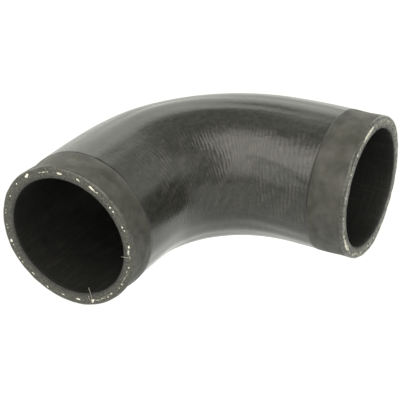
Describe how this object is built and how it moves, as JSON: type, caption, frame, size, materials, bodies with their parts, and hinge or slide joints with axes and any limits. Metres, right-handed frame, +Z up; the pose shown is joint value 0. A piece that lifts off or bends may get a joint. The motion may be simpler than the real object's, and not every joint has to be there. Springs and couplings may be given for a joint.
{
  "type": "air intake hose",
  "caption": "Moulded rubber elbow that turns an intake air path through a right angle, with a constant round bore and a plain raised clamp cuff at each end.",
  "frame": {"origin": "centre of the footprint of the hose as it lies on its side, at the surface it lies on", "axes": "+Z up, square to the plane of the bend; leg A runs along Y and opens towards -Y; leg B runs along X and opens towards +X"},
  "size_m": [0.1404, 0.148, 0.0726],
  "materials": {
    "black_rubber": "semi-matt moulded skin with faint wrap marks, matt at the cuffs and the cut faces",
    "reinforcing_yarn": "cream yarn ends, seen only in the two cut faces"
  },
  "bodies": {
    "root": {"intake_hose": "black_rubber"}
  },
  "joints": []
}
